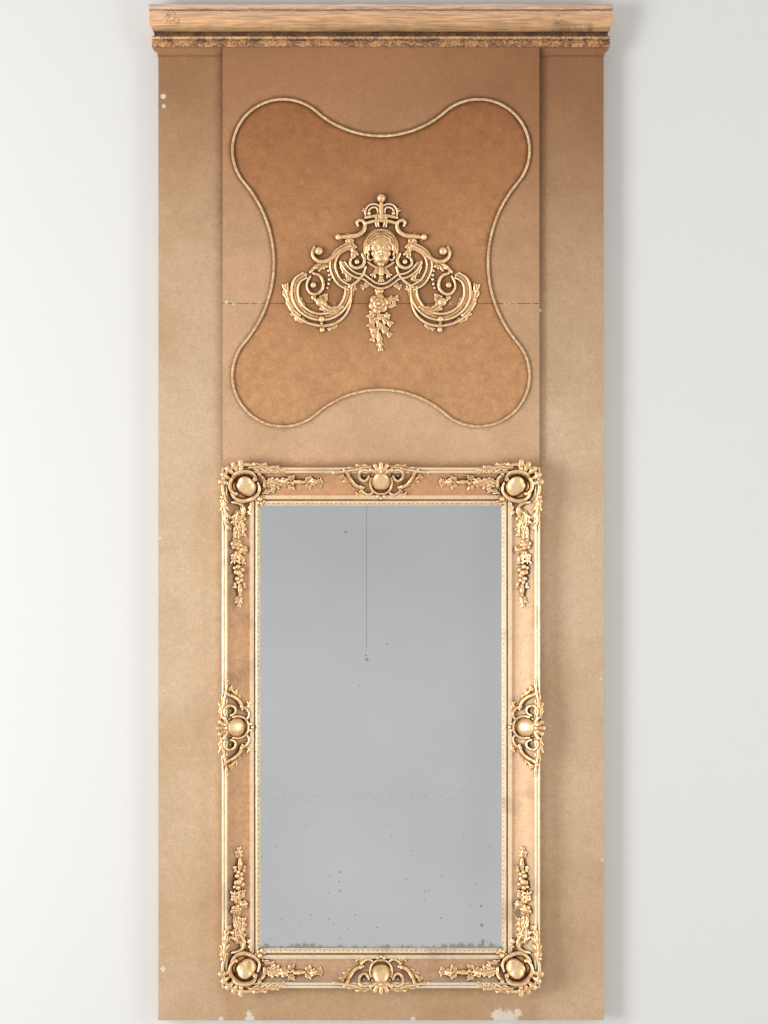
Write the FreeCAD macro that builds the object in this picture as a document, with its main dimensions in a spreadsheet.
"""Trumeau mirror: a tall painted wooden overmantel panel with a gilt framed mirror below a cartouche.

Millimetres, +Z up, the front faces -Y. Heights in this source count from the foot, and place() moves every
piece so that the origin is midway between the eyes of the two hanging plates, on the wall's plane.
Every piece of joinery, moulding, carving and iron is a solid of its own.
"""
import FreeCAD, Part
import Sketcher
import math
import os
from FreeCAD import Placement, Rotation, Vector

SIZES = (
    # the joined back frame
    ("overall_height", 1900, "floor or mantel to the cornice's top"),
    ("body_width", 834, "across both stiles"),
    ("base_thickness", 32, "stiles and rails, wall to face"),
    ("stile_width", 170, "each upright board"),
    ("top_rail_height", 150, "rail behind the cornice"),
    ("middle_rail_height", 120, "rail behind the mirror frame's top edge"),
    ("bottom_rail_height", 118, "rail under the mirror"),
    ("tenon_length", 38, "from the rail's shoulder"),
    ("tenon_thickness", 12, "centred in the rail"),
    ("tenon_shoulder", 14, "above and below each tenon"),
    ("mortise_slack", 0.3, "round each tenon"),
    ("peg_radius", 4, "wooden draw pegs"),
    ("peg_length", 25, "from the back, stopped short of the face"),
    ("peg_spacing", 52, "two pegs in each tenon"),
    # the applied upper panel
    ("panel_width", 592, "as wide as the mirror frame"),
    ("panel_thickness", 10, "stands proud of the stiles"),
    ("lower_board_height", 306.5, "up to the joint that has cracked the paint"),
    ("tongue_height", 5, "on the lower board"),
    ("tongue_thickness", 3.4, "centred in the board"),
    ("fit_gap", 0.2, "between glued or nailed pieces"),
    # the cartouche drawn by the rope moulding
    ("cartouche_height", 1417.5, "its centre above the base"),
    ("lobe_across", 182.5, "centre line to a lobe's centre"),
    ("lobe_up", 210.5, "cartouche centre to a lobe's centre"),
    ("lobe_radius", 95, "to the middle of the rope"),
    ("dip_up", 237, "cartouche centre to the dip between two lobes"),
    ("waist_across", 200, "centre line to the waist"),
    ("rope_width", 8, "flat back of the rope moulding"),
    ("rope_rise", 5, "out from the panel"),
    # the mirror frame
    ("frame_width", 592, "outer edges"),
    ("frame_height", 968, "outer edges"),
    ("frame_lift", 67, "bottom edge above the base"),
    ("rail_face", 71, "outer edge to sight edge"),
    ("rim_depth", 33, "stile's face to the foot of the rim beads"),
    ("rim_bead_width", 5.5, "two beads side by side"),
    ("rim_bead_radius", 2.9, "round of each bead"),
    ("rim_step", 3, "from the beads down to the cove"),
    ("cove_width", 41, "rim to fillet"),
    ("cove_radius", 45, "hollow"),
    ("cove_floor", 15, "depth of metal and wood under the cove's end"),
    ("fillet_width", 7.5, "flat step"),
    ("fillet_depth", 19, "stile's face to the fillet"),
    ("quirk_width", 1.5, "groove beside the fillet"),
    ("sight_depth", 16, "stile's face to the foot of the sight bead"),
    ("sight_bead_width", 9, "ribbon bead at the glass"),
    ("sight_bead_radius", 4.7, "round of that bead"),
    ("rebate_width", 9, "cover over the glass"),
    ("rebate_depth", 14, "back of the frame to the glass"),
    ("glass_thickness", 4, "silvered plate"),
    ("backing_thickness", 6, "pine boards behind the plate"),
    ("plate_slack", 1, "round the plate in its rebate"),
    ("slip_width", 7, "wooden slips that hold the boards"),
    # the cornice, from the top down
    ("crown_height", 50, "fillet and ovolo in one moulding"),
    ("crown_fillet_height", 11, "flat top edge"),
    ("crown_projection", 16, "top edge past the body's face"),
    ("ovolo_top_projection", 13.5, "under the fillet"),
    ("ovolo_foot_projection", 9, "at the ovolo's lower edge"),
    ("ovolo_radius", 55, "bulge"),
    ("band_height", 29, "gilt moulding under the crown"),
    ("band_projection", 11, "stamped band"),
    ("band_flat_height", 11, "stamped band"),
    ("neck_projection", 7, "groove under the crown"),
    ("band_bead_height", 7.5, "astragal"),
    ("band_bead_foot", 9, "projection of the astragal's foot"),
    ("band_bead_radius", 4, "round of the astragal"),
    ("band_quirk_height", 2.5, "groove between band and astragal"),
    ("bed_height", 14.5, "lowest small cove"),
    ("bed_projection", 8, "its top edge"),
    ("bed_foot", 1.5, "its lower edge"),
    ("bed_radius", 16, "hollow"),
    ("top_board_thickness", 8, "dust board between the crown's edges"),
    # iron
    ("screw_radius", 2.2, "wood screws"),
    ("screw_head_radius", 4.4, "sunk cheese head"),
    ("screw_head_height", 3, "sunk flush"),
    ("frame_screw_length", 44, "through a stile into the mirror frame"),
    ("frame_screw_inset", 120, "first screw from the frame's end"),
    ("panel_screw_length", 38, "through a stile into a panel board"),
    ("panel_screw_inset", 110, "first screw above the panel's foot"),
    ("joint_screw_inset", 45, "screws above and below the boards' joint"),
    ("top_screw_drop", 30, "last screw under the top rail"),
    ("hanger_width", 30, "hanging plates let into the stiles"),
    ("hanger_length", 76, "top to bottom"),
    ("hanger_thickness", 2.5, "iron plate"),
    ("hanger_height", 1690, "eye above the base"),
    ("hanger_inset", 85, "eye to the body's side"),
    ("eye_radius", 5, "drops over a wall screw"),
    ("eye_pocket_radius", 9, "room for the wall screw's head"),
    ("eye_pocket_depth", 14, "from the wall's plane"),
    ("hanger_screw_spacing", 52, "two screws in each plate"),
    ("hanger_screw_length", 22, "into the stile"),
    # the applied castings on the panel
    ("mask_height", 1445, "centre of the mask above the base"),
    ("mask_half_length", 29, "brow to chin, and the unit of mask and crown"),
    ("scroll_across", 113.5, "centre line to a scroll's centre"),
    ("scroll_height", 1357, "scroll centre above the base"),
    ("scroll_radius", 52, "crescent, and the unit of the whole scroll"),
    ("swag_half_width", 66.5, "ribbon between the volutes"),
    ("swag_drop", 34, "ribbon's sag"),
    ("swag_height", 1411, "ends of the ribbon"),
    ("ribbon_radius", 4, "ribbon's thickness"),
    ("drop_top", 1366, "top of the hanging flowers"),
    ("drop_half_width", 17, "blossom, and the unit of the hanging flowers"),
    # the applied castings on the mirror frame
    ("corner_inset", 41.5, "boss centre from both outer edges"),
    ("corner_reach", 49, "boss centre to the shell's tip"),
    ("leaf_root", 14, "leaves, back into the wood before the back is hollowed"),
    ("casting_sink", 2, "corners and cartouches, behind the rim"),
    ("level_boss_inset", 25, "boss of the top and bottom cartouches, from the edge"),
    ("upright_boss_inset", 32, "boss of the side cartouches, from the edge"),
    ("cartouche_reach", 87, "half the length of a cartouche"),
    ("spray_length", 105.5, "flowers along a top or bottom rail"),
    ("side_spray_length", 176, "flowers along a side rail"),
    ("spray_start", 82, "frame's edge to the nearest end"),
    ("spray_half_width", 14, "leaves and blossoms"),
    ("spray_rise", 7, "above the cove"),
)

doc = FreeCAD.newDocument("trumeau_mirror")
sheet = doc.addObject("Spreadsheet::Sheet", "Sizes")
for row, (alias, number, note) in enumerate(SIZES, start=1):
    sheet.set("A%d" % row, alias)
    sheet.set("B%d" % row, str(number))
    sheet.set("C%d" % row, note)
    sheet.setAlias("B%d" % row, alias)
doc.recompute()


class Size:
    """A length worked out from the sheet: its number now, and the expression that keeps it bound."""

    def __init__(self, number, text):
        self.number = float(number)
        self.text = text

    def joined(self, sign, other, number):
        return Size(number, "(%s %s %s)" % (self.text, sign, other.text))

    def __add__(self, other):
        other = size(other)
        return self.joined("+", other, self.number + other.number)

    def __sub__(self, other):
        other = size(other)
        return self.joined("-", other, self.number - other.number)

    def __mul__(self, other):
        other = size(other)
        return self.joined("*", other, self.number * other.number)

    def __truediv__(self, other):
        other = size(other)
        return self.joined("/", other, self.number / other.number)

    def __radd__(self, other):
        return size(other) + self

    def __rsub__(self, other):
        return size(other) - self

    def __rmul__(self, other):
        return size(other) * self

    def __neg__(self):
        return size(0) - self


def size(value):
    """A sheet alias, a plain number or a Size, as a Size."""
    if isinstance(value, Size):
        return value
    if isinstance(value, str):
        return Size(sheet.get(value), "Sizes." + value)
    return Size(value, "%.6f" % value)


def bind(thing, **lengths):
    """Bind the named properties of a document object to sizes."""
    for name, value in lengths.items():
        thing.setExpression(name, size(value).text)


def place(thing, x=0, y=0, height=0, rotation=None):
    """Put an object at a bound place, its height counted from the foot, turned by a fixed rotation."""
    spot = (size(x), size(y), size(height) - "hanger_height")
    at = Vector(spot[0].number, spot[1].number, spot[2].number)
    thing.Placement = Placement(at, rotation if rotation else Rotation())
    for letter, value in zip("xyz", spot):
        thing.setExpression("Placement.Base." + letter, value.text)


# ---- sketches and features ----------------------------------------------------------------------

def new_body(label):
    body = doc.addObject("PartDesign::Body", label)
    body.Label = label
    return body


def new_sketch(body, plane, lift=0):
    """A sketch on one of the body's own origin planes: XY_Plane, XZ_Plane (faces -Y) or YZ_Plane."""
    sketch = body.newObject("Sketcher::SketchObject", body.Label + "_sketch")
    support = next(part for part in body.Origin.OriginFeatures if part.Role == plane)
    sketch.AttachmentSupport = [(support, "")]
    sketch.MapMode = "FlatFace"
    if lift:
        sketch.setExpression("AttachmentOffset.Base.z", size(lift).text)
    return sketch


def arc_between(start, end, radius, turn):
    """The short arc from start to end: turn 1 runs anticlockwise, -1 clockwise."""
    chord = end - start
    middle = (start + end) / 2
    left = Vector(-chord.y, chord.x, 0).normalize()
    centre = middle + left * (turn * math.sqrt(radius ** 2 - (chord.Length / 2) ** 2))
    first, last = (start, end) if turn > 0 else (end, start)
    angles = [math.atan2(spot.y - centre.y, spot.x - centre.x) for spot in (first, last)]
    if angles[1] <= angles[0]:
        angles[1] += 2 * math.pi
    return Part.ArcOfCircle(Part.Circle(centre, Vector(0, 0, 1), radius), *angles)


def add_outline(sketch, corners):
    """A closed outline. A corner is (u, v), or (u, v, radius, turn) where an arc starts there."""
    corners = [tuple(size(value) for value in corner[:3]) + tuple(corner[3:]) for corner in corners]
    spots = [Vector(corner[0].number, corner[1].number, 0) for corner in corners]
    edges = []
    for index, corner in enumerate(corners):
        start, end = spots[index], spots[(index + 1) % len(spots)]
        if len(corner) == 2:
            edge = sketch.addGeometry(Part.LineSegment(start, end))
            edges.append((edge, 1, 2))
        else:
            edge = sketch.addGeometry(arc_between(start, end, corner[2].number, corner[3]))
            edges.append((edge, 1, 2) if corner[3] > 0 else (edge, 2, 1))
            radius = sketch.addConstraint(Sketcher.Constraint("Radius", edge, corner[2].number))
            sketch.setExpression("Constraints[%d]" % radius, corner[2].text)
    for index, corner in enumerate(corners):
        edge, first, _ = edges[index]
        before, _, last = edges[index - 1]
        sketch.addConstraint(Sketcher.Constraint("Coincident", before, last, edge, first))
        for kind, value in (("DistanceX", corner[0]), ("DistanceY", corner[1])):
            row = sketch.addConstraint(Sketcher.Constraint(kind, edge, first, value.number))
            sketch.setExpression("Constraints[%d]" % row, value.text)


def add_rectangle(sketch, low_u, low_v, high_u, high_v):
    add_outline(sketch, [(low_u, low_v), (high_u, low_v), (high_u, high_v), (low_u, high_v)])


def add_circles(sketch, centres, radius):
    for u, v in centres:
        u, v, r = size(u), size(v), size(radius)
        circle = Part.Circle(Vector(u.number, v.number, 0), Vector(0, 0, 1), r.number)
        edge = sketch.addGeometry(circle)
        for kind, value in (("DistanceX", u), ("DistanceY", v)):
            row = sketch.addConstraint(Sketcher.Constraint(kind, edge, 3, value.number))
            sketch.setExpression("Constraints[%d]" % row, value.text)
        row = sketch.addConstraint(Sketcher.Constraint("Radius", edge, r.number))
        sketch.setExpression("Constraints[%d]" % row, r.text)


def pad(body, sketch, length, both_ways=False):
    feature = body.newObject("PartDesign::Pad", body.Label + "_pad")
    feature.Profile = sketch
    feature.Midplane = both_ways
    bind(feature, Length=length)
    return feature


def pocket(body, sketch, depth=None, backwards=True):
    """Cut a pocket of this depth, or right through both ways."""
    feature = body.newObject("PartDesign::Pocket", body.Label + "_pocket")
    feature.Profile = sketch
    if depth is None:
        feature.Midplane = True
        feature.Type = "ThroughAll"
    else:
        feature.Reversed = backwards
        bind(feature, Length=depth)
    return feature


# ---- places shared by several pieces ------------------------------------------------------------

half_body = size("body_width") / 2
inner_edge = half_body - "stile_width"
board_top = size("overall_height") - "top_board_thickness"
face = -size("base_thickness")
panel_face = face - "panel_thickness"

frame_top = size("frame_lift") + "frame_height"
frame_middle = size("frame_lift") + size("frame_height") / 2
half_frame = size("frame_width") / 2
half_panel = size("panel_width") / 2
panel_foot = frame_top + "fit_gap"
panel_joint = panel_foot + "lower_board_height"

crown_foot = size("overall_height") - "crown_height"
band_foot = crown_foot - "band_height"
bed_foot_height = band_foot - "bed_height"
panel_top = band_foot - "fit_gap"

# each rail of the back frame, as its name, foot and height
RAILS = (
    ("top_rail", board_top - "top_rail_height", size("top_rail_height")),
    ("middle_rail", frame_top - size("middle_rail_height") / 2, size("middle_rail_height")),
    ("bottom_rail", size(0), size("bottom_rail_height")),
)
top_rail_foot = RAILS[0][1]

# screws stand midway between the stile's inner edge and the outer edge of what they hold
frame_screw_across = (inner_edge + half_frame) / 2
panel_screw_across = (inner_edge + half_panel) / 2
frame_screw_reach = size("frame_height") / 2 - "frame_screw_inset"
frame_screw_steps = [frame_screw_reach * share for share in (-1, -1 / 3, 1 / 3, 1)]
lower_board_screws = [panel_foot + "panel_screw_inset", panel_joint - "joint_screw_inset"]
upper_board_screws = [panel_joint + "joint_screw_inset", top_rail_foot - "top_screw_drop"]

hanger_across = half_body - "hanger_inset"
peg_line = size("tenon_length") / 2


def peg_heights(foot, height):
    """The heights of the two pegs in a rail's tenon."""
    middle = foot + height / 2
    return [middle - size("peg_spacing") / 2, middle + size("peg_spacing") / 2]


# ---- the joined back frame ----------------------------------------------------------------------

def stile(label, side):
    """One upright, mortised for three rails and bored for pegs, screws and a hanging plate."""
    body = new_body(label)
    front = new_sketch(body, "XZ_Plane")
    add_rectangle(front, 0, 0, side * size("stile_width"), board_top)
    pad(body, front, "base_thickness")
    slack = size("mortise_slack")
    cheek = (size("base_thickness") - "tenon_thickness") / 2
    for _, foot, height in RAILS:
        mouth = new_sketch(body, "YZ_Plane")
        low = foot + "tenon_shoulder" - slack
        high = foot + height - "tenon_shoulder" + slack
        add_rectangle(mouth, -cheek + slack, low, cheek - "base_thickness" - slack, high)
        pocket(body, mouth, size("tenon_length") + slack, backwards=side > 0)
    pegs = new_sketch(body, "XZ_Plane")
    spots = [(side * peg_line, height) for rail in RAILS for height in peg_heights(rail[1], rail[2])]
    add_circles(pegs, spots, "peg_radius")
    pocket(body, pegs, "peg_length")
    across = side * (frame_screw_across - inner_edge)
    spots = [(across, frame_middle + step) for step in frame_screw_steps]
    across = side * (panel_screw_across - inner_edge)
    spots += [(across, height) for height in lower_board_screws + upper_board_screws]
    shanks = new_sketch(body, "XZ_Plane")
    add_circles(shanks, spots, "screw_radius")
    pocket(body, shanks)
    across = side * (hanger_across - inner_edge)
    heads = new_sketch(body, "XZ_Plane")
    add_circles(heads, spots + hanger_screw_spots(across), "screw_head_radius")
    pocket(body, heads, "screw_head_height")
    recess = new_sketch(body, "XZ_Plane")
    half_width = size("hanger_width") / 2 + "fit_gap"
    half_length = size("hanger_length") / 2 + "fit_gap"
    add_rectangle(recess, across - half_width, size("hanger_height") - half_length,
                  across + half_width, size("hanger_height") + half_length)
    pocket(body, recess, "hanger_thickness")
    eye = new_sketch(body, "XZ_Plane")
    add_circles(eye, [(across, "hanger_height")], "eye_pocket_radius")
    pocket(body, eye, "eye_pocket_depth")
    pilots = new_sketch(body, "XZ_Plane")
    add_circles(pilots, hanger_screw_spots(across), "screw_radius")
    pocket(body, pilots, "hanger_screw_length")
    place(body, side * inner_edge)
    return body


def hanger_screw_spots(across):
    reach = size("hanger_screw_spacing") / 2
    return [(across, size("hanger_height") - reach), (across, size("hanger_height") + reach)]


def cross_rail(label, foot, height):
    """A rail with a tenon at each end, drilled for its pegs."""
    body = new_body(label)
    front = new_sketch(body, "XZ_Plane")
    add_rectangle(front, -inner_edge, 0, inner_edge, height)
    pad(body, front, "base_thickness")
    tenon = new_sketch(body, "XZ_Plane", (size("base_thickness") - "tenon_thickness") / 2)
    reach = inner_edge + "tenon_length"
    add_rectangle(tenon, -reach, "tenon_shoulder", reach, height - "tenon_shoulder")
    pad(body, tenon, "tenon_thickness")
    pegs = new_sketch(body, "XZ_Plane")
    across = inner_edge + peg_line
    spots = [(side * across, level) for side in (-1, 1) for level in peg_heights(size(0), height)]
    add_circles(pegs, spots, "peg_radius")
    pocket(body, pegs, "peg_length")
    place(body, 0, 0, foot)
    return body


def group(label, solids):
    """Several separate solids that share one node."""
    whole = doc.addObject("Part::Compound", label)
    whole.Label = label
    whole.Links = solids
    return whole


def tenon_pegs():
    turned = Rotation(Vector(1, 0, 0), 90)
    pegs = []
    for _, foot, height in RAILS:
        for side in (-1, 1):
            for level in peg_heights(foot, height):
                peg = doc.addObject("Part::Cylinder", "peg")
                bind(peg, Radius="peg_radius", Height="peg_length")
                place(peg, side * (inner_edge + peg_line), 0, level, turned)
                pegs.append(peg)
    return group("tenon_pegs", pegs)


def wood_screw(x, z, length):
    """A screw driven towards the front, its head flush with the wall's plane."""
    turned = Rotation(Vector(1, 0, 0), 90)
    head = doc.addObject("Part::Cylinder", "screw_head")
    bind(head, Radius="screw_head_radius", Height="screw_head_height")
    shank = doc.addObject("Part::Cylinder", "screw_shank")
    bind(shank, Radius="screw_radius", Height=length)
    for piece in (head, shank):
        place(piece, x, 0, z, turned)
    screw = doc.addObject("Part::Fuse", "screw")
    screw.Base = head
    screw.Tool = shank
    return screw


def fixing_screws():
    frame_screws = []
    panel_screws = []
    hanger_screws = []
    for side in (-1, 1):
        for step in frame_screw_steps:
            across = side * frame_screw_across
            frame_screws.append(wood_screw(across, frame_middle + step, "frame_screw_length"))
        for height in lower_board_screws + upper_board_screws:
            panel_screws.append(wood_screw(side * panel_screw_across, height, "panel_screw_length"))
        for across, height in hanger_screw_spots(side * hanger_across):
            hanger_screws.append(wood_screw(across, height, "hanger_screw_length"))
    return [group("frame_screws", frame_screws), group("panel_screws", panel_screws),
            group("hanger_screws", hanger_screws)]


def hanging_plate(label, side):
    """An iron plate let in flush with the stile's back, its eye over the pocket in the wood."""
    body = new_body(label)
    outline = new_sketch(body, "XZ_Plane")
    half_width = size("hanger_width") / 2
    half_length = size("hanger_length") / 2
    add_rectangle(outline, -half_width, -half_length, half_width, half_length)
    add_circles(outline, [(0, 0)], "eye_radius")
    reach = size("hanger_screw_spacing") / 2
    add_circles(outline, [(0, -reach), (0, reach)], "screw_head_radius")
    pad(body, outline, "hanger_thickness")
    place(body, side * hanger_across, 0, "hanger_height")
    return body


# ---- the upper panel ----------------------------------------------------------------------------

def panel_board(label, foot, height, screws, tongue):
    """A board of the upper panel: the lower one carries a tongue, the upper one its groove."""
    body = new_body(label)
    front = new_sketch(body, "XZ_Plane")
    add_rectangle(front, -half_panel, 0, half_panel, height)
    pad(body, front, "panel_thickness")
    cheek = (size("panel_thickness") - "tongue_thickness") / 2
    if tongue:
        strip = new_sketch(body, "XZ_Plane", cheek)
        add_rectangle(strip, -half_panel, height, half_panel, height + "tongue_height")
        pad(body, strip, "tongue_thickness")
    else:
        strip = new_sketch(body, "XZ_Plane", cheek - "fit_gap")
        add_rectangle(strip, -half_panel, 0, half_panel, size("tongue_height") + "fit_gap")
        pocket(body, strip, size("tongue_thickness") + size("fit_gap") * 2)
    pilots = new_sketch(body, "XZ_Plane")
    spots = [(side * panel_screw_across, level - foot) for side in (-1, 1) for level in screws]
    add_circles(pilots, spots, "screw_radius")
    pocket(body, pilots, size("panel_screw_length") - "base_thickness")
    place(body, 0, face, foot)
    return body


def cartouche_outline(offset):
    """The four-lobed line, moved outwards by offset: two quarter arcs to a lobe, one to a dip or waist.

    A dip's arc touches both lobes, so its radius follows from where it crosses the centre line.
    """
    across, up = size("lobe_across"), size("lobe_up")
    radius = size("lobe_radius")
    dip_rise = size("dip_up") - up
    dip_radius = (across * across + dip_rise * dip_rise - radius * radius) / ((radius - dip_rise) * 2)
    waist_out = size("waist_across") - across
    waist_radius = (up * up + waist_out * waist_out - radius * radius) / ((radius - waist_out) * 2)
    dip_centre = size("dip_up") + dip_radius
    waist_centre = size("waist_across") + waist_radius
    dip_share = (dip_radius - offset) / (dip_radius + radius)
    waist_share = (waist_radius - offset) / (waist_radius + radius)
    dip_end = (across * dip_share, dip_centre + (up - dip_centre) * dip_share)
    waist_end = (waist_centre + (across - waist_centre) * waist_share, up * waist_share)
    lobe = radius + offset
    crown = (across, up + lobe)
    flank = (across + lobe, up)
    corners = []
    for side_x, side_z in ((1, 1), (-1, 1), (-1, -1), (1, -1)):
        run = [(flank, lobe, 1), (crown, lobe, 1), (dip_end, dip_radius - offset, -1)]
        if side_x * side_z < 0:
            run = [(dip_end, lobe, 1), (crown, lobe, 1), (flank, lobe, 1)]
            run.append((waist_end, waist_radius - offset, -1))
        else:
            run = [(waist_end, lobe, 1)] + run
        corners += [(spot[0] * side_x, spot[1] * side_z, bend, turn) for spot, bend, turn in run]
    return corners


def cartouche_rope():
    """The rope moulding: a round-shouldered ridge that follows the four-lobed line."""
    body = new_body("cartouche_rope")
    ring = new_sketch(body, "XZ_Plane")
    add_outline(ring, cartouche_outline(size("rope_width") / 2))
    add_outline(ring, cartouche_outline(-size("rope_width") / 2))
    ridge = pad(body, ring, "rope_rise")
    doc.recompute()
    rounded = body.newObject("PartDesign::Fillet", "rope_shoulders")
    top = -size("rope_rise").number
    rims = [
        "Edge%d" % (index + 1) for index, edge in enumerate(ridge.Shape.Edges)
        if all(abs(vertex.Point.y - top) < 0.001 for vertex in edge.Vertexes)
    ]
    rounded.Base = (ridge, rims)
    bind(rounded, Radius=size("rope_width") * 0.36)
    place(body, 0, panel_face, "cartouche_height")
    return body


# ---- mouldings ----------------------------------------------------------------------------------

def frame_profile():
    """Section of the mirror frame, as (depth towards the front, distance in from the outer edge)."""
    rim = size("rim_depth")
    bead = size("rim_bead_width")
    cove_start = bead * 2
    cove_end = cove_start + "cove_width"
    fillet_end = cove_end + "fillet_width"
    sight_start = fillet_end + "quirk_width"
    sight_end = sight_start + "sight_bead_width"
    edge = size("rail_face")
    rebate = edge - "rebate_width"
    return [
        (size(0), size(0)),
        (rim, size(0), size("rim_bead_radius"), 1),
        (rim, bead, size("rim_bead_radius"), 1),
        (rim, cove_start),
        (rim - "rim_step", cove_start, size("cove_radius"), -1),
        (size("cove_floor"), cove_end),
        (size("fillet_depth"), cove_end),
        (size("fillet_depth"), fillet_end),
        (size("sight_depth"), fillet_end),
        (size("sight_depth"), sight_start, size("sight_bead_radius"), 1),
        (size("sight_depth"), sight_end),
        (size("sight_depth"), edge),
        (size("rebate_depth"), edge),
        (size("rebate_depth"), rebate),
        (size(0), rebate),
    ]


def frame_rail(label, length, turn, x, z, screws):
    """A mitred rail of the mirror frame, made level with its outer edge up, then turned into place."""
    body = new_body(label)
    section = new_sketch(body, "YZ_Plane")
    add_outline(section, [(-spot[0], -spot[1]) + tuple(spot[2:]) for spot in frame_profile()])
    pad(body, section, length, both_ways=True)
    mitres = new_sketch(body, "XZ_Plane")
    half = size(length) / 2
    past = size("rail_face") + 5
    for side in (-1, 1):
        foot = (side * (half - past), -past)
        add_outline(mitres, [(side * half, 0), (side * (half + 5), 0), (side * (half + 5), -past), foot])
    pocket(body, mitres)
    if screws:
        pilots = new_sketch(body, "XZ_Plane")
        drop = frame_screw_across - half_frame
        add_circles(pilots, [(step, drop) for step in frame_screw_steps], "screw_radius")
        pocket(body, pilots, size("frame_screw_length") - "base_thickness")
    place(body, x, face, z, Rotation(Vector(0, 1, 0), turn))
    return body


def crown_profile():
    foot = size("ovolo_foot_projection")
    shoulder = size("crown_height") - "crown_fillet_height"
    return [
        (size(0), size(0)),
        (foot, size(0), size("ovolo_radius"), 1),
        (size("ovolo_top_projection"), shoulder),
        (size("crown_projection"), shoulder),
        (size("crown_projection"), size("crown_height")),
        (size(0), size("crown_height")),
    ]


def band_profile():
    flat = size("band_flat_height")
    bead_foot = flat + "band_quirk_height"
    bead_top = bead_foot + "band_bead_height"
    return [
        (size(0), size(0)),
        (size("band_projection"), size(0)),
        (size("band_projection"), flat),
        (size("band_bead_foot"), flat),
        (size("band_bead_foot"), bead_foot, size("band_bead_radius"), 1),
        (size("band_bead_foot"), bead_top),
        (size("neck_projection"), bead_top),
        (size("neck_projection"), size("band_height")),
        (size(0), size("band_height")),
    ]


def bed_profile():
    return [
        (size(0), size(0)),
        (size("bed_foot"), size(0), size("bed_radius"), -1),
        (size("bed_projection"), size("bed_height")),
        (size(0), size("bed_height")),
    ]


def flipped(profile, side):
    """A cornice section drawn to the right, or with side -1 to the left."""
    corners = []
    for out, up, *bend in profile:
        if bend:
            bend = [bend[0], bend[1] * side]
        corners.append((side * out, up, *bend))
    return corners


def cornice_front(label, profile, foot, reach, inner=None, side=1):
    """A front run of a cornice moulding, mitred at the body's corners, or a short run beside the panel."""
    body = new_body(label)
    section = new_sketch(body, "YZ_Plane")
    add_outline(section, flipped(profile, -1))
    past = size(reach) + 4
    if inner is None:
        pad(body, section, (half_body + past) * 2, both_ways=True)
        sides = (-1, 1)
        start = half_body
    else:
        run = pad(body, section, half_body + past - inner)
        run.Reversed = side < 0
        sides = (side,)
        start = half_body - inner
    mitres = new_sketch(body, "XY_Plane")
    for hand in sides:
        add_outline(mitres, [(hand * start, 0), (hand * (start + past + 2), 0),
                             (hand * (start + past + 2), -past - 2)])
    pocket(body, mitres)
    place(body, 0 if inner is None else side * inner, face, foot)
    return body


def cornice_return(label, profile, foot, reach, side):
    """The side run of a cornice moulding, from the wall to the mitre."""
    body = new_body(label)
    section = new_sketch(body, "XZ_Plane")
    add_outline(section, flipped(profile, side))
    past = size(reach) + 4
    pad(body, section, size("base_thickness") + past)
    mitre = new_sketch(body, "XY_Plane")
    add_outline(mitre, [(0, face), (0, face - past - 2), (side * (past + 2), face - past - 2)])
    pocket(body, mitre)
    place(body, side * half_body, 0, foot)
    return body


def cornice():
    runs = (
        ("crown", crown_profile, crown_foot, "crown_projection"),
        ("gilt_band", band_profile, band_foot, "crown_projection"),
    )
    pieces = []
    for name, profile, foot, reach in runs:
        pieces.append(cornice_front("cornice_%s_front" % name, profile(), foot, reach))
    runs += (("bed", bed_profile, bed_foot_height, "bed_projection"),)
    for side, hand in ((-1, "left"), (1, "right")):
        for name, profile, foot, reach in runs:
            label = "cornice_%s_return_%s" % (name, hand)
            pieces.append(cornice_return(label, profile(), foot, reach, side))
        label = "cornice_bed_front_" + hand
        inner = half_panel + "fit_gap"
        pieces.append(cornice_front(label, bed_profile(), bed_foot_height, "bed_projection", inner, side))
    return pieces


def board(label, width, depth, height, x, y, z):
    """A plain board, given by its low corner."""
    box = doc.addObject("Part::Box", label)
    box.Label = label
    bind(box, Length=width, Width=depth, Height=height)
    place(box, x, y, z)
    return box


# ---- the mirror plate and what holds it ---------------------------------------------------------

def mirror_plate():
    """The plate in its rebate, two boards behind it and four wooden slips that hold them."""
    cover = size("rail_face") - "rebate_width" + "plate_slack"
    width = size("frame_width") - cover * 2
    height = size("frame_height") - cover * 2
    foot = size("frame_lift") + cover
    front = face - "rebate_depth"
    glass = board("mirror_glass", width, "glass_thickness", height, -width / 2, front, foot)
    behind = front + "glass_thickness"
    half = (height - "fit_gap") / 2
    pieces = [glass]
    for label, lift in (("backing_board_lower", size(0)), ("backing_board_upper", half + "fit_gap")):
        pieces.append(board(label, width, "backing_thickness", half, -width / 2, behind, foot + lift))
    slip_front = behind + "backing_thickness"
    depth = face - slip_front
    slip = size("slip_width")
    slips = []
    for low in (foot, foot + height - slip):
        slips.append(board("slip_level", width, depth, slip, -width / 2, slip_front, low))
    for low in (-width / 2, width / 2 - slip):
        upright = height - slip * 2 - size("fit_gap") * 2
        slips.append(board("slip_upright", slip, depth, upright, low, slip_front, foot + slip + "fit_gap"))
    return pieces + [group("retaining_slips", slips)]


# ---- carved and cast ornament -------------------------------------------------------------------

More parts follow.
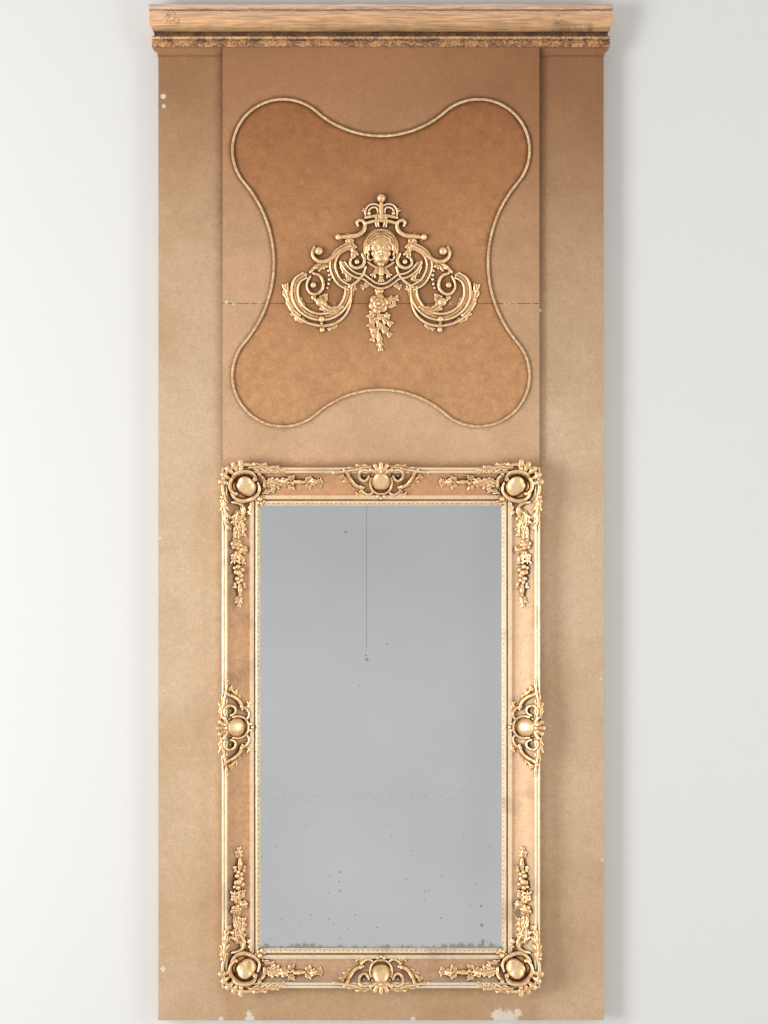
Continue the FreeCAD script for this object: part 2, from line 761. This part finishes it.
# A pattern is drawn in shares of one length, to the right and up from its own centre:
# a curl (radius, thickness, start, sweep), a lump or a leaf (half length, half width, rise, angle),
# a rod (length, thickness, angle), a dome (radius, rise) or a ball (radius).
SCROLL = (
    ("curl", 0, 0, 1, 0.1, 136, 242),
    ("curl", 1.12, 1.03, 0.73, 0.09, 96, 164),
    ("ball", 0.97, 0.31, 0.13),
    ("curl", 0.054, 1.39, 0.27, 0.08, 150, 165),
    ("ball", -0.054, 1.52, 0.15),
    ("rod", 0.25, 1.21, 0.93, 0.07, 34),
    ("curl", -0.2, 0.28, 0.29, 0.08, 60, 300),
    ("ball", -0.2, 0.28, 0.24),
    ("rod", -0.72, 0.68, 0.5, 0.07, -12),
    ("leaf", 0.14, -0.29, 0.42, 0.17, 0.2, -20),
    ("leaf", -0.04, -0.12, 0.22, 0.12, 0.24, 105),
    ("rod", 0.3, -0.37, 0.6, 0.08, -75),
    ("leaf", -1.14, 0.3, 0.2, 0.08, 0.12, 70),
    ("leaf", -1.1, -0.28, 0.2, 0.08, 0.12, 100),
    ("leaf", -0.8, -0.83, 0.2, 0.08, 0.12, 128),
    ("rod", 0.05, -0.95, 0.3, 0.06, -85),
    ("ball", 0.07, -1.27, 0.1),
    ("rod", 0.61, 2.05, 0.75, 0.065, 0),
    ("ball", 0.61, 2.06, 0.11),
    ("curl", 1.43, 2.32, 0.2, 0.07, -100, 240),
    ("ball", 1.38, 2.09, 0.1),
    ("leaf", 1.15, 1.66, 0.47, 0.13, 0.17, -66),
    ("curl", 1.29, 1.12, 0.21, 0.07, 40, 300),
    ("ball", 1.29, 1.12, 0.17),
)
MASK = (
    ("lump", 0, 0, 1, 0.76, 0.62, 90),
    ("lump", 0, -0.05, 0.24, 0.11, 0.74, 90),
    ("lump", -0.66, 0.2, 0.66, 0.26, 0.35, 82),
    ("lump", 0.66, 0.2, 0.66, 0.26, 0.35, 98),
    ("lump", -0.36, 0.8, 0.5, 0.22, 0.4, 25),
    ("lump", 0.36, 0.8, 0.5, 0.22, 0.4, 155),
)
CROWN = (
    ("lump", 0, 1.72, 0.9, 0.3, 0.46, 0),
    ("curl", -0.5, 2.3, 0.33, 0.11, 0, 360),
    ("curl", 0.5, 2.3, 0.33, 0.11, 0, 360),
    ("rod", 0, 1.8, 1.4, 0.12, 90),
    ("rod", -0.55, 2.64, 1.1, 0.1, 0),
    ("ball", 0, 3.27, 0.24),
)
FLOWERS = (
    ("rod", 0, 0, 6.1, 0.2, -90),
    ("ball", 0, -1.72, 0.42),
    ("leaf", 0.6, -1.53, 0.42, 0.3, 0.5, 18),
    ("leaf", 0, -1.09, 0.42, 0.3, 0.5, 90),
    ("leaf", -0.6, -1.53, 0.42, 0.3, 0.5, 162),
    ("leaf", -0.36, -2.23, 0.42, 0.3, 0.5, 234),
    ("leaf", 0.36, -2.23, 0.42, 0.3, 0.5, 306),
    ("leaf", 0.85, -0.95, 0.75, 0.22, 0.4, 24),
    ("rod", 0.1, -1.2, 0.5, 0.16, 24),
    ("leaf", -0.4, -3.2, 0.7, 0.26, 0.45, 55),
    ("leaf", 0.4, -3.75, 0.7, 0.26, 0.45, 125),
    ("leaf", -0.4, -4.3, 0.7, 0.26, 0.45, 55),
    ("leaf", 0.4, -4.85, 0.7, 0.26, 0.45, 125),
    ("leaf", -0.4, -5.3, 0.7, 0.26, 0.45, 55),
)
LILY = (
    ("ball", 0, 0, 0.14),
    ("leaf", 0, 0.3, 0.34, 0.09, 0.1, 90),
    ("leaf", -0.2, 0.17, 0.24, 0.07, 0.09, 140),
    ("leaf", 0.2, 0.17, 0.24, 0.07, 0.09, 40),
)
CORNER = (
    ("dome", 0, 0, 0.34, 0.27),
    ("rod", -0.5, 0, 1, 0.06, 0),
    ("curl", 0, 0, 0.5, 0.09, 47, 360),
    ("curl", 0, 0, 0.82, 0.1, 0, 180),
    ("rod", 0, 0.45, 0.4, 0.06, 90),
    ("ball", -0.8, -0.03, 0.13),
    ("ball", 0.8, -0.03, 0.13),
    ("leaf", 0, 0.94, 0.17, 0.09, 0.13, 90),
    ("leaf", -0.37, 0.81, 0.17, 0.09, 0.13, 115),
    ("leaf", 0.37, 0.81, 0.17, 0.09, 0.13, 65),
    ("leaf", -0.66, 0.56, 0.16, 0.09, 0.13, 140),
    ("leaf", 0.66, 0.56, 0.16, 0.09, 0.13, 40),
    ("curl", -0.67, -0.13, 0.13, 0.06, 35, 360),
    ("curl", 0.67, -0.13, 0.13, 0.06, 145, 360),
    ("leaf", -0.39, -0.39, 0.2, 0.1, 0.14, 47),
    ("leaf", 0.39, -0.39, 0.2, 0.1, 0.14, 133),
    ("leaf", 0, -0.72, 0.26, 0.1, 0.12, 90),
)
CARTOUCHE = (
    ("dome", 0, 0, 0.195, 0.16),
    ("rod", -0.3, 0, 0.6, 0.04, 0),
    ("rod", 0, 0.1, 0.25, 0.055, 90),
    ("curl", 0, 0, 0.24, 0.04, 47, 360),
    ("leaf", 0, 0.31, 0.12, 0.05, 0.1, 90),
    ("leaf", -0.12, 0.28, 0.12, 0.045, 0.09, 112),
    ("leaf", 0.12, 0.28, 0.12, 0.045, 0.09, 68),
    ("curl", -0.36, 0.12, 0.11, 0.04, 75, 360),
    ("curl", 0.36, 0.12, 0.11, 0.04, 105, 360),
    ("leaf", -0.68, 0.16, 0.32, 0.055, 0.09, 3),
    ("leaf", 0.68, 0.16, 0.32, 0.055, 0.09, 177),
    ("leaf", -0.46, -0.03, 0.24, 0.05, 0.09, 152),
    ("leaf", 0.46, -0.03, 0.24, 0.05, 0.09, 28),
    ("leaf", -0.14, -0.24, 0.14, 0.045, 0.08, 150),
    ("leaf", 0.14, -0.24, 0.14, 0.045, 0.08, 30),
)


def in_plane(angle):
    """Turn about the viewing axis, so that X points up the face by this angle in degrees."""
    return Rotation(Vector(0, 1, 0), -angle)


def curl(x, y, z, radius, thickness, start, sweep):
    """Part of a round ring that lies in the plane of the face, from one angle through a sweep."""
    ring = doc.addObject("Part::Torus", "curl")
    bind(ring, Radius1=radius, Radius2=thickness)
    ring.Angle3 = sweep
    place(ring, x, y, z, in_plane(start) * Rotation(Vector(1, 0, 0), 90))
    return ring


def lump(x, y, z, along, across, rise, angle):
    """An ellipsoid, its long axis at an angle in the plane of the face."""
    shape = doc.addObject("Part::Ellipsoid", "lump")
    bind(shape, Radius1=across, Radius2=along, Radius3=rise)
    place(shape, x, y, z, in_plane(angle))
    return shape


def leaf(x, y, z, along, across, rise, angle):
    """A pointed leaf with a level face, rooted well behind the surface, its long axis at an angle."""
    along, across = size(along), size(across)
    bend = (along * along + across * across) / (across * 2)
    outline = doc.addObject("Sketcher::SketchObject", "leaf_outline")
    add_outline(outline, [(-along, 0, bend, 1), (along, 0, bend, 1)])
    place(outline, x, y, z, in_plane(angle) * Rotation(Vector(1, 0, 0), 90))
    shape = doc.addObject("Part::Extrusion", "leaf")
    shape.Base = outline
    shape.DirMode = "Normal"
    shape.Solid = True
    bind(shape, LengthFwd=rise, LengthRev="leaf_root")
    return shape


def dome(x, y, z, radius, rise):
    """A round boss: the cap of a ball whose centre lies behind the surface."""
    radius, rise = size(radius), size(rise)
    whole = (radius * radius + rise * rise) / (rise * 2)
    return ball(x, y + whole - rise, z, whole)


def rod(x, y, z, length, thickness, angle):
    """A round rod from one place, at an angle in the plane of the face."""
    shape = doc.addObject("Part::Cylinder", "rod")
    bind(shape, Radius=thickness, Height=length)
    place(shape, x, y, z, in_plane(angle) * Rotation(Vector(0, 1, 0), 90))
    return shape


def ball(x, y, z, radius):
    shape = doc.addObject("Part::Sphere", "ball")
    bind(shape, Radius=radius)
    place(shape, x, y, z, Rotation(Vector(0, 0, 1), 90))
    return shape


def drawn(pattern, x, y, z, unit, tilt=0, slope=0.0, hand=1):
    """The shapes of a pattern, turned by tilt degrees and leaning out towards its own top by slope.

    Hand -1 draws the opposite-handed twin.
    """
    unit = size(unit)
    turned = math.radians(tilt)
    shapes = []
    for kind, right, up, *shares in pattern:
        if hand < 0:
            right = -right
            if kind == "curl":
                shares[2] = 180 - shares[2] - shares[3]
            elif kind in ("lump", "leaf", "rod"):
                shares[-1] = 180 - shares[-1]
        at_x = x + unit * (right * math.cos(turned) - up * math.sin(turned))
        at_y = y - unit * (up * slope)
        at_z = z + unit * (right * math.sin(turned) + up * math.cos(turned))
        if kind == "curl":
            radius, thickness, start, sweep = shares
            shapes.append(curl(at_x, at_y, at_z, unit * radius, unit * thickness, start + tilt, sweep))
        elif kind in ("lump", "leaf"):
            along, across, rise, angle = shares
            make = lump if kind == "lump" else leaf
            shapes.append(make(at_x, at_y, at_z, unit * along, unit * across, unit * rise, angle + tilt))
        elif kind == "dome":
            shapes.append(dome(at_x, at_y, at_z, unit * shares[0], unit * shares[1]))
        elif kind == "rod":
            length, thickness, angle = shares
            shapes.append(rod(at_x, at_y, at_z, unit * length, unit * thickness, angle + tilt))
        else:
            shapes.append(ball(at_x, at_y, at_z, unit * shares[0]))
    return shapes


def casting(label, shapes, ground):
    """Fuse the shapes of an ornament and hollow its back to the surface that it is glued on."""
    whole = doc.addObject("Part::MultiFuse", label + "_fused")
    whole.Shapes = shapes
    whole.Refine = False
    seated = doc.addObject("Part::Cut", label)
    seated.Label = label
    seated.Base = whole
    seated.Tool = ground
    seated.Refine = False
    return seated


def panel_castings(ground):
    """The mask with its crown, two scrolls, a ribbon and a drop of flowers, all on the panel."""
    y = panel_face
    middle = size(0)
    head = size("mask_height")
    mask = casting("mascaron_mask", drawn(MASK, middle, y, head, "mask_half_length"), ground)
    crown = casting("mascaron_crown", drawn(CROWN, middle, y, head, "mask_half_length"), ground)

    lift = y - size("scroll_radius") * 0.04
    scrolls = []
    for side, name in ((-1, "scroll_left"), (1, "scroll_right")):
        across, height = side * size("scroll_across"), size("scroll_height")
        stems = drawn(SCROLL, across, lift, height, "scroll_radius", hand=-side)
        scrolls.append(casting(name, stems, ground))

    half, drop = size("swag_half_width"), size("swag_drop")
    bend = (half * half + drop * drop) / (drop * 2)
    spread = math.degrees(math.asin(half.number / bend.number))
    lowest = size("swag_height") - drop
    swag = curl(middle, y - 1, lowest + bend, bend, "ribbon_radius", 270 - spread, spread * 2)
    ribbon = casting("ribbon_swag", [swag] + drawn(LILY, middle, y, lowest, drop), ground)

    flowers = casting("flower_drop", drawn(FLOWERS, middle, y, size("drop_top"), "drop_half_width"), ground)
    return [mask, crown] + scrolls + [ribbon, flowers]


def spray_casting(label, ground, x, z, along, length, hand):
    """Blossoms and leaves on a stalk that runs along a rail's cove from near the corner."""
    y = face - size("rim_depth") * 0.66
    length = size(length)
    half = size("spray_half_width")
    turned = math.radians(along)
    step_x, step_z = math.cos(turned), math.sin(turned)
    shapes = [rod(x, y, z, length * 0.96, half * 0.22, along)]
    for share, side in ((0.14, 1), (0.32, -1), (0.5, 1), (0.66, -1), (0.8, 1), (0.92, -1)):
        far = length * share
        out = half * 0.45 * side * hand
        shapes.append(leaf(x + far * step_x - out * step_z, y, z + far * step_z + out * step_x,
                           half * 0.9, half * 0.34, "spray_rise", along + 38 * side * hand))
    for share in (0.23, 0.41):
        far = length * share
        shapes.append(ball(x + far * step_x, y, z + far * step_z, half * 0.6))
    return casting(label, shapes, ground)


def frame_castings(ground):
    """A corner ornament and two sprays at each corner, and a cartouche in the middle of each rail."""
    y = face - size("rim_depth") + size("casting_sink")
    rail_line = size("rail_face") * 0.42
    pieces = []
    for side_x, side_z, word_z, word_x, tilt in (
        (-1, 1, "top", "left", 45), (1, 1, "top", "right", -45),
        (-1, -1, "bottom", "left", 135), (1, -1, "bottom", "right", -135),
    ):
        edge = frame_middle + side_z * size("frame_height") / 2
        name = "corner_ornament_%s_%s" % (word_z, word_x)
        x = side_x * (half_frame - "corner_inset")
        z = edge - side_z * size("corner_inset")
        pieces.append(casting(name, drawn(CORNER, x, y, z, "corner_reach", tilt, 0.12), ground))

        hand = -side_x * side_z
        name = "spray_%s_%s" % (word_z, word_x)
        x = side_x * (half_frame - "spray_start")
        z = edge - side_z * rail_line
        along = 0 if side_x < 0 else 180
        pieces.append(spray_casting(name, ground, x, z, along, "spray_length", hand))
        name = "spray_%s_%s" % ("upper" if side_z > 0 else "lower", word_x)
        x = side_x * (half_frame - rail_line)
        z = edge - side_z * size("spray_start")
        pieces.append(spray_casting(name, ground, x, z, -90 * side_z, "side_spray_length", -hand))

    middle = size(0)
    top_boss = size("frame_height") / 2 - "level_boss_inset"
    side_boss = half_frame - "upright_boss_inset"
    for name, x, z, tilt in (
        ("top_cartouche", middle, frame_middle + top_boss, 0),
        ("bottom_cartouche", middle, frame_middle - top_boss, 180),
        ("left_cartouche", -side_boss, frame_middle, 90),
        ("right_cartouche", side_boss, frame_middle, -90),
    ):
        pieces.append(casting(name, drawn(CARTOUCHE, x, y, z, "cartouche_reach", tilt, 0.22), ground))
    return pieces


# ---- the whole ----------------------------------------------------------------------------------

subparts = [stile("stile_left", -1), stile("stile_right", 1)]
for rail_name, rail_foot, rail_height in RAILS:
    subparts.append(cross_rail(rail_name, rail_foot, rail_height))
subparts.append(tenon_pegs())
subparts += fixing_screws()
subparts += [hanging_plate("hanging_plate_left", -1), hanging_plate("hanging_plate_right", 1)]

upper_height = panel_top - panel_joint - "fit_gap"
lower_height = size("lower_board_height")
subparts.append(panel_board("panel_board_lower", panel_foot, lower_height, lower_board_screws, True))
upper_foot = panel_joint + "fit_gap"
subparts.append(panel_board("panel_board_upper", upper_foot, upper_height, upper_board_screws, False))
subparts.append(cartouche_rope())

frame_rails = {}
for rail_name, rail_length, rail_turn, rail_x, rail_z, screwed in (
    ("frame_rail_top", "frame_width", 0, size(0), frame_top, False),
    ("frame_rail_bottom", "frame_width", 180, size(0), size("frame_lift"), False),
    ("frame_rail_left", "frame_height", -90, -half_frame, frame_middle, True),
    ("frame_rail_right", "frame_height", 90, half_frame, frame_middle, True),
):
    frame_rails[rail_name] = frame_rail(rail_name, rail_length, rail_turn, rail_x, rail_z, screwed)
subparts += list(frame_rails.values())
subparts += mirror_plate()
subparts += cornice()
subparts.append(board("cornice_top_board", "body_width", "base_thickness", "top_board_thickness",
                      -half_body, face, board_top))

panel_ground = board("panel_ground", "panel_width", "base_thickness", panel_top - panel_foot,
                     -half_panel, panel_face, panel_foot)
subparts += panel_castings(panel_ground)
frame_ground = doc.addObject("Part::MultiFuse", "frame_ground")
frame_ground.Shapes = list(frame_rails.values())
frame_ground.Refine = False
subparts += frame_castings(frame_ground)

doc.recompute()
for item in doc.Objects:
    if "Invalid" in item.State or "Error" in item.State:
        raise RuntimeError("%s did not build: %s" % (item.Label, item.State))
os.makedirs("parts", exist_ok=True)
for piece in subparts:
    if piece.Shape.isNull() or not piece.Shape.isValid() or piece.Shape.Volume <= 0:
        raise RuntimeError("%s has no valid shape" % piece.Label)
for piece in subparts:
    piece.Shape.exportStep("parts/%s.step" % piece.Label)
    print("%-32s %2d solids %12.1f mm3" % (piece.Label, len(piece.Shape.Solids), piece.Shape.Volume))
